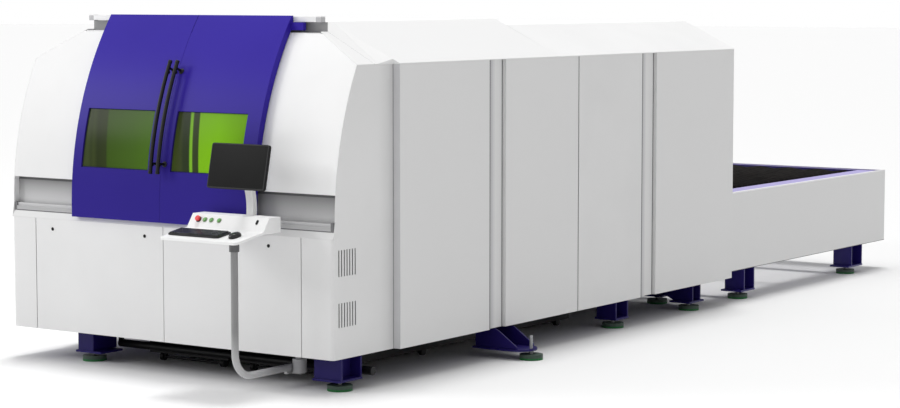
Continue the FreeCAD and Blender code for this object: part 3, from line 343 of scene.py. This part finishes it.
def laser_glass():
    """Green laser-safety acrylic.

    Its colour paints the lit and shaded inside seen through the panes: it runs along X from dark olive to
    bright yellow-green, with the dark frame members that stand behind the panes painted as bars. They lean
    with height: the ramp reads X plus the lean times Z. The panes are painted darker upwards as painted shade,
    and their faint ripple blurs the highlight.
    """
    material = blank("green laser acrylic")
    where = add(material, "TexCoord")
    split = add(material, "SeparateXYZ", links={"Vector": (where, "Object")})
    lean = add(material, "Math", {"operation": "MULTIPLY_ADD", 1: BAR_LEAN},
               {0: (split, "Z"), 2: (split, "X")})
    span = [edge + BAR_LEAN * WINDOW_HIGH for edge in (PANES[0][0], PANES[1][1])]
    along = add(material, "MapRange", {"From Min": span[0], "From Max": span[1]},
                {"Value": (lean, "Value")})

    def share(x):
        """A machine X at the windows' top edge as a share of the two panes' run."""
        return (x - SHIFT[0] + BAR_LEAN * WINDOW_HIGH - span[0]) / (span[1] - span[0])

    # Painted light and shade of the inside: dark frame members and brightly lit walls behind the panes.
    bars = [(-0.777, "#3C4727"), (-0.745, "#333D20"), (-0.72, "#394422"), (-0.68, "#2C351B"),
            (-0.60, "#303B1B"), (-0.585, "#3B541A"), (-0.35, "#42601E"), (-0.137, "#4A6E1E"),
            (0.072, "#414C24"), (0.11, "#3C4727"), (0.135, "#2F3A24"), (0.185, "#2E3822"),
            (0.19, "#79B22E"), (0.212, "#80BA30"), (0.217, "#384428"), (0.268, "#354122"),
            (0.275, "#7DB81E"), (0.45, "#80C016"), (0.712, "#74AC16")]
    seen = ramp(material, along, "Result", [(share(x), code) for x, code in bars])
    shade = add(material, "MapRange",
                {"From Min": WINDOW_LOW, "From Max": WINDOW_HIGH, "To Min": 1.08, "To Max": 0.86},
                {"Value": (split, "Z")})
    tint = add(material, "VectorMath", {"operation": "SCALE"}, {0: (seen, "Color"), 3: (shade, "Result")})
    ripple = add(material, "TexNoise", {"Scale": 3.0, "Detail": 1.0}, {"Vector": (where, "Object")})
    wave = add(material, "Bump", {"Strength": 0.05, "Distance": 0.002}, {"Height": (ripple, "Fac")})
    shader = add(material, "BsdfPrincipled", {"Roughness": 0.2, "IOR": 1.49, "Specular IOR Level": 0.05},
                 {"Base Color": (tint, "Vector"), "Normal": (wave, "Normal")})
    add(material, "OutputMaterial", links={"Surface": (shader, "BSDF")})
    return material


GLASS = laser_glass()

# The finish of each CAD node: by its own name, by the family that its name starts with, or plain white
FINISH = {
    "bed_frame": FRAME, "level_feet": FEET, "lifting_bar": BLACK, "table_frame": TABLE,
    "table_sheets": SHEETS, "lower_rail": RAIL, "top_rail": BRIGHT, "end_stops": STOPS,
    "control_cabinet": GREY, "beam_rails": GROUND, "moving_beam": ANODISED, "carriage": ANODISED,
    "cutting_head": GROUND, "sill": SILL, "keyboard": KEYS, "mouse": KEYS, "monitor": SHELL,
    "control_arm": POST, "arm_pivot": PIVOT, "monitor_stem": COVER, "desk": BRIGHT,
    "emergency_stop": RED, "roof_front": ROOF, "roof_rear": BRIGHT, "side_right_front": MODULE,
    "side_right_rear": MODULE_REAR, "side_front_left": CORNER, "side_front_right": CORNER,
}
FAMILIES = {
    "door_": VIOLET, "window_": GLASS, "handle_": BLACK, "lock_": BLACK, "wheels_": BLACK_ABS,
    "scrap_": BLACK, "pallet_": SCORCHED, "button_": GREEN, "cover_": COVER, "side_left": GREY,
    "rear_": GREY,
}
for name, piece in nodes.items():
    finish = FINISH.get(name, WHITE)
    for first_part, family_finish in FAMILIES.items():
        if name.startswith(first_part):
            finish = family_finish
    piece.data.materials.clear()
    piece.data.materials.append(finish)


# Shapes

SHARP_EDGE = math.radians(35)
CORNER_STEPS = 7


def skin(name, stacks, finish, body, loop=False):
    """One piece of several closed skins.

    Each stack is an array of rings of points. Neighbouring rings are joined by four-sided faces, and the
    two last rings are closed by flat ends, or by each other where the rings loop round. The sum of each
    face's share of the volume tells which way round its corners go, so that all faces point outwards.
    """
    points = []
    faces = []
    count = 0
    for rings in stacks:
        rows, cols = rings.shape[:2]
        here = np.arange(rows * cols).reshape(rows, cols)
        beside = np.roll(here, -1, axis=1)
        quads = np.stack([here, beside, np.roll(beside, -1, axis=0), np.roll(here, -1, axis=0)], -1)
        quads = (quads if loop else quads[:-1]).reshape(-1, 4)
        ends = [] if loop else [here[0][::-1], here[-1]]
        flat = rings.reshape(-1, 3)
        corner = [flat[quads[:, i]] - flat.mean(axis=0) for i in range(4)]
        volume = sum(np.einsum("ij,ij->i", corner[0], np.cross(corner[i], corner[i + 1])).sum()
                     for i in (1, 2))
        step = 1 if volume > 0 else -1
        faces += (quads[:, ::step] + count).tolist() + [(end[::step] + count).tolist() for end in ends]
        points.append(flat)
        count += len(flat)
    mesh = bpy.data.meshes.new(name)
    mesh.from_pydata(np.concatenate(points).tolist(), [], faces)
    mesh.polygons.foreach_set("use_smooth", [True] * len(mesh.polygons))
    mesh.set_sharp_from_angle(angle=SHARP_EDGE)
    mesh.materials.append(finish)
    piece = bpy.data.objects.new(name, mesh)
    bpy.context.scene.collection.objects.link(piece)
    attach(piece, body)
    return piece


def stack(centre, across, along, levels, power=2.0, sides=32):
    """Rings over a centre, each a rounded rectangle.

    A level is (height, half width, half depth). A ring's point at angle t lies at half width times
    cos t and half depth times sin t, each raised to 2 over the power with its sign kept: a power of 2 is
    an ellipse and a high one nearly a rectangle. Heights run along the cross product of the two axes.
    """
    t = np.linspace(0, 2 * np.pi, sides, endpoint=False)
    c = np.sign(np.cos(t)) * np.abs(np.cos(t)) ** (2 / power)
    s = np.sign(np.sin(t)) * np.abs(np.sin(t)) ** (2 / power)
    up = np.cross(across, along)
    return np.array([centre + up * height + np.outer(c * width, across) + np.outer(s * depth, along)
                     for height, width, depth in levels])


def rounded(levels):
    """Levels for a round piece from (height, radius)."""
    return [(height, radius, radius) for height, radius in levels]


def tube(route, inner, outer, profile):
    """A closed profile carried round a route.

    Each of the profile's points is the route's point plus its first number along the inner direction
    and its second along the outer one.
    """
    profile = np.array(profile, float)
    return (route[:, None] + profile[None, :, :1] * inner[:, None]
            + profile[None, :, 1:] * outer[:, None])


def framed(half_x, half_z, corner, run=14):
    """A rounded rectangle's points and their inward directions.

    Each corner is a quarter circle, and evenly spaced points lead from its end to the next corner.
    """
    centres = [np.array([(half_x - corner) * x, (half_z - corner) * z])
               for x, z in ((1, 1), (-1, 1), (-1, -1), (1, -1))]
    side = np.linspace(0, 1, run, endpoint=False)[1:, None]
    points = []
    inward = []
    for k, centre in enumerate(centres):
        t = np.linspace(k, k + 1, CORNER_STEPS) * np.pi / 2
        out = np.stack([np.cos(t), np.sin(t)], 1)
        ahead = centres[(k + 1) % 4] - centre
        points += [centre + corner * out, centre + corner * out[-1] + side * ahead]
        inward += [-out, np.repeat(-out[-1:], run - 1, axis=0)]
    return np.concatenate(points), np.concatenate(inward)


# Doors: window seals, and the flanges, collars and end caps of the pull bars

ARC = place(0, 2.364, 1.155)
GLASS_SUNK = 0.012
PANE_LAP = 0.012
WINDOW_CORNER = 0.006
BAR_OUT = DOOR_RADIUS + 0.07
BAR_ENDS = ((1.44, -1), (2.224, 1))
BAR_STANDS = (1.5, 2.15)


def curved(x, z, radius):
    """A point on the doors' curve, with the outward and upward directions there.

    The height above the arc's centre over the radius is the sine of its angle.
    """
    angle = np.arcsin((z - ARC[2]) / radius)
    zero = np.zeros_like(angle)
    out = np.stack([zero, -np.cos(angle), np.sin(angle)], -1)
    up = np.stack([zero, np.sin(angle), np.cos(angle)], -1)
    spot = np.stack([x + zero, ARC[1] + radius * out[..., 1], ARC[2] + radius * out[..., 2]], -1)
    return spot, out, up


for side in ("left", "right"):
    low, high = (np.array(p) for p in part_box("window_" + side))
    middle = (low + high) / 2
    half = (high - low) / 2 - PANE_LAP
    flat, inward = framed(half[0], half[2], WINDOW_CORNER)
    route, out, up = curved(middle[0] + flat[:, 0], middle[2] + flat[:, 1], DOOR_RADIUS - GLASS_SUNK)
    inner = inward[:, :1] * ALONG + inward[:, 1:] * up
    seal = tube(route, inner, out, [(-0.0005, 0.0003), (0.0045, 0.0003), (0.004, 0.003),
                                   (0.0015, 0.006), (-0.0005, 0.0065)])
    skin("window_seal_" + side, [seal], SEAL, "door_" + side, loop=True)

    low, high = (np.array(p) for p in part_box("handle_" + side))
    x = (low[0] + high[0]) / 2
    fittings = []
    for z, turn in BAR_ENDS:
        spot, out, up = curved(x, z, BAR_OUT)
        fittings.append(stack(spot, ALONG, np.cross(up * turn, ALONG), rounded(
            [(-0.016, 0.0138), (-0.015, 0.0155), (0.001, 0.0155), (0.004, 0.0135), (0.005, 0.0095)])))
    for z in BAR_STANDS:
        spot, out, up = curved(x, z, DOOR_RADIUS)
        fittings.append(stack(spot, ALONG, np.cross(out, ALONG), rounded(
            [(-0.001, 0.021), (0.004, 0.021), (0.0065, 0.0185), (0.0085, 0.0125), (0.0125, 0.0105)])))
        spot, out, up = curved(x, z, BAR_OUT)
        fittings.append(stack(spot, ALONG, up, rounded(
            [(-0.021, 0.0105), (-0.013, 0.0145), (-0.009, 0.0152)])))
    skin("handle_fittings_" + side, fittings, BLACK, "door_" + side)

# Doors' meeting edge: a seal that fills the seam from the right door's edge. Its four long edges follow
# the doors' curve at their own depths, and drop straight down below the arc's centre.

SEAM_LOW = 1.09
SEAM_HIGH = 2.42
SEAM_FILL = 0.0036
SEAL_FRONT = 0.0006
SEAL_BACK = 0.012
SEAL_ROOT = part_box("door_right")[0][0] + 0.0002

heights = np.linspace(SEAM_LOW, SEAM_HIGH, 60)
edges = []
for fill, depth in ((0.0, SEAL_FRONT), (SEAM_FILL, SEAL_FRONT), (SEAM_FILL, SEAL_BACK), (0.0, SEAL_BACK)):
    spot, out, up = curved(SEAL_ROOT - fill, heights, DOOR_RADIUS - depth)
    spot[spot[:, 2] < ARC[2], 1] = ARC[1] - DOOR_RADIUS + depth
    edges.append(spot)
skin("door_edge_seal", [np.stack(edges, 1)], VIOLET, "door_right")

# Cover locks: a bezel on the cover and a raised grip on each lock

LOCK_HEIGHT = 0.978
for lock in ("one", "two", "three", "four"):
    low, high = (np.array(p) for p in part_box("lock_" + lock))
    x = (low[0] + high[0]) / 2
    spot = np.array([x, -SHIFT[1], LOCK_HEIGHT])
    face = np.array([x, low[1], LOCK_HEIGHT])
    bezel = stack(spot, ALONG, UPRIGHT, rounded(
        [(-0.0005, 0.0104), (-0.0005, 0.0125), (0.002, 0.0125), (0.003, 0.0118), (0.003, 0.0108),
         (0.002, 0.0104)]), sides=40)
    skin("lock_bezel_" + lock, [bezel], BLACK_ABS, "machine", loop=True)
    grip = stack(face, ALONG, UPRIGHT, [(-0.001, 0.0026, 0.0075), (0.0012, 0.0024, 0.007),
                                       (0.002, 0.0018, 0.006)], power=4.0)
    skin("lock_grip_" + lock, [grip], BLACK_ABS, "lock_" + lock)

# Desk: a shelf that slopes a little and carries keyboard and mouse

SHELF = math.radians(9.24)
SHELF_EDGE = (-0.572, 1.058)
shelf_up = np.array([0, math.cos(SHELF), math.sin(SHELF)])
shelf_out = np.cross(ALONG, shelf_up)


def on_shelf(x, y):
    """A point of the shelf at a machine X and Y: its front edge's height plus the rise from there."""
    return place(x, y, SHELF_EDGE[1] + (y - SHELF_EDGE[0]) * math.tan(SHELF))


KEYBOARD_LEFT = 0.470
KEYBOARD_FRONT = -0.505
KEYBOARD_HALF = (0.225, 0.075)
KEY_PITCH = 0.0195
ROW_PITCH = 0.021
KEY_GAP = 0.0008
MIDDLE_COLUMN = 11.05
MIDDLE_ROW = 2.5
TOP_ROW = 5
TOP_ROW_SET_OFF = 0.003

keyboard_at = (on_shelf(KEYBOARD_LEFT + KEYBOARD_HALF[0], KEYBOARD_FRONT)
               + shelf_up * KEYBOARD_HALF[1])
case = stack(keyboard_at, ALONG, shelf_up, [
    (0.0004, 0.219, 0.07), (0.002, 0.2235, 0.0745), (0.008, *KEYBOARD_HALF), (0.0125, 0.2235, 0.0735),
    (0.0135, 0.22, 0.07)], power=14.0, sides=72)

# A key is (its middle in columns, half its width in columns)
main_block = [(c + 0.5, 0.5) for c in range(15)]
side_blocks = [(first + c, 0.5) for first in (15.8, 19.1) for c in range(3)]
space_bar = (6.5, 3.5)
keys = []
for row in range(TOP_ROW + 1):
    row_keys = main_block + side_blocks
    if row == 0:
        row_keys = row_keys[:3] + [space_bar] + row_keys[10:]
    set_off = TOP_ROW_SET_OFF if row == TOP_ROW else 0
    for column, half in row_keys:
        spot = (keyboard_at + ALONG * (column - MIDDLE_COLUMN) * KEY_PITCH
                + shelf_up * ((row - MIDDLE_ROW) * ROW_PITCH + set_off))
        wide = half * KEY_PITCH - KEY_GAP
        keys.append(stack(spot, ALONG, shelf_up, [
            (0.0125, wide, 0.0096), (0.0175, wide - 0.0006, 0.009), (0.0195, wide - 0.0018, 0.0078),
            (0.0198, wide - 0.003, 0.0066)], power=7.0, sides=20))
board = skin("keyboard_case", [case], KEYS, "desk")
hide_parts("keyboard")
skin("keycaps", keys, KEYS, "desk")

# The mouse's domed shell: height and half sizes follow the sine and powers of the cosine of an angle

MOUSE_LEFT = 0.985
MOUSE_FRONT = -0.495
MOUSE_HALF = (0.031, 0.0525)
DOME_FOOT = 0.006
DOME_RISE = 0.027
WHEEL_AHEAD = 0.028
WHEEL_UP = 0.0255
WHEEL_HALF = 0.0035

mouse_at = on_shelf(MOUSE_LEFT + MOUSE_HALF[0], MOUSE_FRONT) + shelf_up * MOUSE_HALF[1]
dome = [(DOME_FOOT + DOME_RISE * math.sin(a), MOUSE_HALF[0] * math.cos(a) ** 0.45,
         MOUSE_HALF[1] * math.cos(a) ** 0.55) for a in np.radians(np.linspace(0, 84, 14))]
shell = stack(mouse_at, ALONG, shelf_up, [(0.0004, 0.027, 0.048), (0.003, 0.030, 0.0515)] + dome,
              power=2.6, sides=40)
mouse = skin("mouse_shell", [shell], KEYS, "desk")
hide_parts("mouse")
wheel_at = mouse_at + shelf_up * WHEEL_AHEAD + shelf_out * WHEEL_UP - ALONG * WHEEL_HALF
wheel = stack(wheel_at, shelf_up, shelf_out, rounded(
    [(0, 0.006), (0.0012, 0.0075), (2 * WHEEL_HALF - 0.0012, 0.0075), (2 * WHEEL_HALF, 0.006)]), sides=24)
skin("mouse_wheel", [wheel], RUBBER, "desk")

# Desk: a steep slope behind the shelf that carries the push buttons and a socket

SLOPE = math.radians(54.6)
SLOPE_FOOT = (-0.283, 1.105)
CONTROLS_UP = 0.066
BUTTONS = (("start", 0.586), ("hold", 0.643), ("reset", 0.712))
STOP_X = 0.530
SOCKET_X = 1.042
SOCKET_UP = 0.072
slope_up = np.array([0, math.cos(SLOPE), math.sin(SLOPE)])


def on_slope(x, up=CONTROLS_UP):
    """A point of the slope at a machine X and a distance up from its foot."""
    return place(x, *SLOPE_FOOT) + slope_up * up


for name, x in BUTTONS:
    ring = stack(on_slope(x), ALONG, slope_up, rounded(
        [(-0.0005, 0.0145), (-0.0005, 0.0195), (0.002, 0.0195), (0.0045, 0.0175), (0.0045, 0.0153),
         (0.002, 0.0145)]), sides=40)
    skin("bezel_" + name, [ring], LENS_RING, "desk", loop=True)
    cap = stack(on_slope(x), ALONG, slope_up, rounded(
        [(0.0065, 0.0138), (0.0078, 0.0132), (0.009, 0.0112), (0.0095, 0.008), (0.0097, 0.003)]), sides=40)
    skin("cap_" + name, [cap], GREEN, "button_" + name)

# The emergency stop: a straight neck that slides in its bore, then the mushroom
mushroom_form = stack(on_slope(STOP_X), ALONG, slope_up, rounded(
    [(-0.029, 0.0138), (0.0082, 0.0138), (0.0088, 0.0178), (0.0098, 0.0193), (0.012, 0.02),
     (0.0195, 0.02), (0.022, 0.0188), (0.0235, 0.016), (0.024, 0.012), (0.024, 0.004)]), sides=48)
mushroom = skin("stop_mushroom", [mushroom_form], RED, "emergency_stop")
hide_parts("emergency_stop")
collar = stack(on_slope(STOP_X), ALONG, slope_up, rounded(
    [(-0.0005, 0.0143), (-0.0005, 0.0225), (0.001, 0.0225), (0.0018, 0.0215), (0.0018, 0.0143)]), sides=48)
skin("stop_collar", [collar], BLACK_ABS, "desk", loop=True)
socket = stack(on_slope(SOCKET_X, SOCKET_UP), ALONG, slope_up, [
    (-0.0005, 0.0098, 0.018), (0.003, 0.0098, 0.018), (0.0042, 0.0085, 0.0167),
    (0.0042, 0.0062, 0.0145), (0.0015, 0.0055, 0.0138)], power=3.0)
skin("desk_socket", [socket], BLACK_ABS, "desk")

# Monitor: its dark panel, a bezel round it and a hump on its back

TILT = math.radians(12.5)
HINGE = place(0.888, -0.205, 1.526)
SCREEN_FRONT = 0.05
SCREEN_REAR = 0.028
BEZEL_HALF = (0.249, 0.155)
BEZEL_CORNER = 0.017
screen_up = np.array([0, math.sin(TILT), math.cos(TILT)])
screen_out = np.cross(ALONG, screen_up)
front = HINGE + screen_out * SCREEN_FRONT
panel = stack(front, ALONG, screen_up, [
    (0.0002, 0.240, 0.146), (0.0008, 0.240, 0.146), (0.001, 0.2395, 0.1455)], power=40.0, sides=64)
skin("display_panel", [panel], PANEL, "monitor")
flat, inward = framed(*BEZEL_HALF, BEZEL_CORNER, run=3)
rim = front + flat[:, :1] * ALONG + flat[:, 1:] * screen_up
inner = inward[:, :1] * ALONG + inward[:, 1:] * screen_up
bezel = tube(rim, inner, np.broadcast_to(screen_out, inner.shape), [
    (0, 0.0001), (0.0095, 0.0001), (0.009, 0.0022), (0.0015, 0.0022), (0, 0.001)])
skin("display_bezel", [bezel], BLACK_ABS, "monitor", loop=True)
hump = stack(HINGE + screen_out * SCREEN_REAR, ALONG, -screen_up, [
    (-0.0005, 0.19, 0.107), (0.004, 0.188, 0.105), (0.0075, 0.176, 0.095), (0.008, 0.17, 0.089)],
    power=9.0, sides=64)
skin("display_back", [hump], SHELL, "monitor")

# Front left leg: a plate that closes its right side between the flanges

LEG_SIDE = place(-0.818, 0.2495, 0.155)
plate = stack(LEG_SIDE, INWARD, UPRIGHT, [
    (0.0, 0.1255, 0.0745), (0.003, 0.1255, 0.0745), (0.004, 0.1245, 0.0735)], power=60.0, sides=48)
skin("leg_plate", [plate], FRAME, "machine")

# Table: a pale trim strip along the top edge of each outer sheet

TRIM_IN = 0.014
TRIM_HALF = 0.0138
TRIM_END_PLAY = 0.0002
low, high = (np.array(p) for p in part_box("table_sheets"))
middle = (low + high) / 2
side_half = (high[1] - low[1]) / 2 - 2 * TRIM_IN - TRIM_END_PLAY
end_half = (high[0] - low[0]) / 2 - TRIM_END_PLAY
trims = []
for x, y, half_x, half_y in ((low[0] + TRIM_IN, middle[1], TRIM_HALF, side_half),
                             (high[0] - TRIM_IN, middle[1], TRIM_HALF, side_half),
                             (middle[0], high[1] - TRIM_IN, end_half, TRIM_HALF)):
    trims.append(stack(np.array([x, y, high[2]]), ALONG, INWARD, [
        (0.0001, half_x, half_y), (0.0045, half_x, half_y), (0.0055, half_x - 0.001, half_y - 0.001)],
        power=200.0, sides=64))
skin("table_trim", trims, BRIGHT, "machine")

# Roof: a sealed ramp on each slope, where the middle sheet stands above the nose sheet. Under each ramp
# runs the nose's slope, from the crease to the shoulder, and its back edge lies on the middle sheet's
# slope, from the crease to the eaves. It reaches as far forward as six times the step between the two.

CREASE = (0.975, 2.503)
NOSE_SHOULDER = (1.5, 2.22)
MODULE_EAVES = (1.555, 2.222)
RAMP_RUN = (0.99, 1.4985)
RAMP_REACH = 6.0
RAMP_SUNK = 0.0006


def roof_slope(x, foot):
    """The height at X of a straight roof slope from the crease down to its foot."""
    return CREASE[1] - (x - CREASE[0]) / (foot[0] - CREASE[0]) * (CREASE[1] - foot[1])


ramps = []
for hand in (-1, 1):
    x = np.linspace(*RAMP_RUN, 24)
    under = roof_slope(x, NOSE_SHOULDER)
    over = roof_slope(x, MODULE_EAVES)
    rear_y = np.full_like(x, FRONT_DEPTH + 0.0005)
    tip_y = rear_y - RAMP_REACH * (over - under) - 0.002
    section = [(tip_y, under - RAMP_SUNK), (tip_y, under + 0.0004), (rear_y, over + 0.0003),
               (rear_y, under - RAMP_SUNK)]
    ramps.append(np.stack([np.stack([hand * x, y, z], -1) - SHIFT for y, z in section], 1))
skin("roof_ramps", ramps, BRIGHT, "machine")

# Vents: a black sheet of painted shade behind each row of slots

VENT_ROWS = (("high", 0.795, 0.975), ("low", 0.447, 0.614))
VENT_X = 1.4955
VENT_MIDDLE_Y = 0.155
VENT_HALF_Y = 0.115
VENT_LAP = 0.012
for row, low, high in VENT_ROWS:
    middle = place(VENT_X, VENT_MIDDLE_Y, (low + high) / 2)
    half_z = (high - low) / 2 + VENT_LAP
    screen = stack(middle, INWARD, UPRIGHT, [
        (-0.002, VENT_HALF_Y, half_z), (-0.0005, VENT_HALF_Y, half_z)], power=30.0, sides=48)
    skin("vent_shade_sheet_" + row, [screen], BLACK, "machine")


# Floor, soft studio light and white surroundings

FLOOR_SPAN = 150.0
FLOOR_LIT = 0.88
FLOOR_SEEN = 0.9
AMBIENT = 0.5


def looked_at(owner):
    """1 on rays seen straight, in a reflection or through glass, and 0 on rays that only light."""
    path = add(owner, "LightPath")
    direct = add(owner, "Math", {"operation": "MAXIMUM"},
                 {0: (path, "Is Camera Ray"), 1: (path, "Is Glossy Ray")})
    return add(owner, "Math", {"operation": "MAXIMUM"},
               {0: (direct, "Value"), 1: (path, "Is Transmission Ray")})


def pale_floor():
    """Matt white floor paint, a little brighter where it is looked at than where it only lights."""
    material = blank("pale studio floor")
    share = add(material, "MapRange", {"To Min": FLOOR_LIT, "To Max": FLOOR_SEEN},
                {"Value": (looked_at(material), "Value")})
    pale = add(material, "VectorMath", {"operation": "SCALE", 0: colour("#FFFFFF")[:3]},
               {3: (share, "Result")})
    matt = add(material, "BsdfDiffuse", links={"Color": (pale, "Vector")})
    add(material, "OutputMaterial", links={"Surface": (matt, "BSDF")})
    return material


mesh = bpy.data.meshes.new("floor")
mesh.from_pydata([(-FLOOR_SPAN, -FLOOR_SPAN, 0), (FLOOR_SPAN, -FLOOR_SPAN, 0),
                  (FLOOR_SPAN, FLOOR_SPAN, 0), (-FLOOR_SPAN, FLOOR_SPAN, 0)], [], [(0, 1, 2, 3)])
mesh.materials.append(pale_floor())
floor = bpy.data.objects.new("floor", mesh)
bpy.context.scene.collection.objects.link(floor)

world = bpy.data.worlds.new("white surroundings")
bpy.context.scene.world = world
world.use_nodes = True
world.node_tree.nodes.clear()
level = add(world, "MapRange", {"To Min": AMBIENT, "To Max": 1.0}, {"Value": (looked_at(world), "Value")})
sky = add(world, "Background", {"Color": colour("#FFFFFF")}, {"Strength": (level, "Result")})
add(world, "OutputWorld", links={"Surface": (sky, "Background")})


def lamp(name, kind, power, spot, target):
    """A soft lamp that faces a target: a square one of a given size or a distant one."""
    light = bpy.data.lights.new(name, kind)
    light.energy = power
    holder = bpy.data.objects.new(name, light)
    away = np.array(spot, float) - np.array(target, float)
    away /= np.linalg.norm(away)
    side = np.cross(UPRIGHT, away)
    side /= np.linalg.norm(side)
    holder.matrix_world = turned(side, np.cross(away, side), away, spot)
    bpy.context.scene.collection.objects.link(holder)
    return light


# Distant lamps: name, power, where they shine from and their spread in degrees
SUNS = (("overhead", 1.3, (-1.1, 2.7, 12), 15), ("wide", 0.3, (-1.2, 2.5, 12), 40),
        ("left", 0.3, (-5, -3, 8), 40))
# Square lamps: name, power, place, target and size
SOFT_BOXES = (("key", 800, (-13, -14, 8.5), (0, -4, 1), 5.0),
              ("front", 60, (2, -15, 12), (0, -4, 1.5), 6.0))
for name, power, spot, spread in SUNS:
    lamp(name, "SUN", power, spot, (0, 0, 0)).angle = math.radians(spread)
for name, power, spot, target, size in SOFT_BOXES:
    lamp(name, "AREA", power, spot, target).size = size
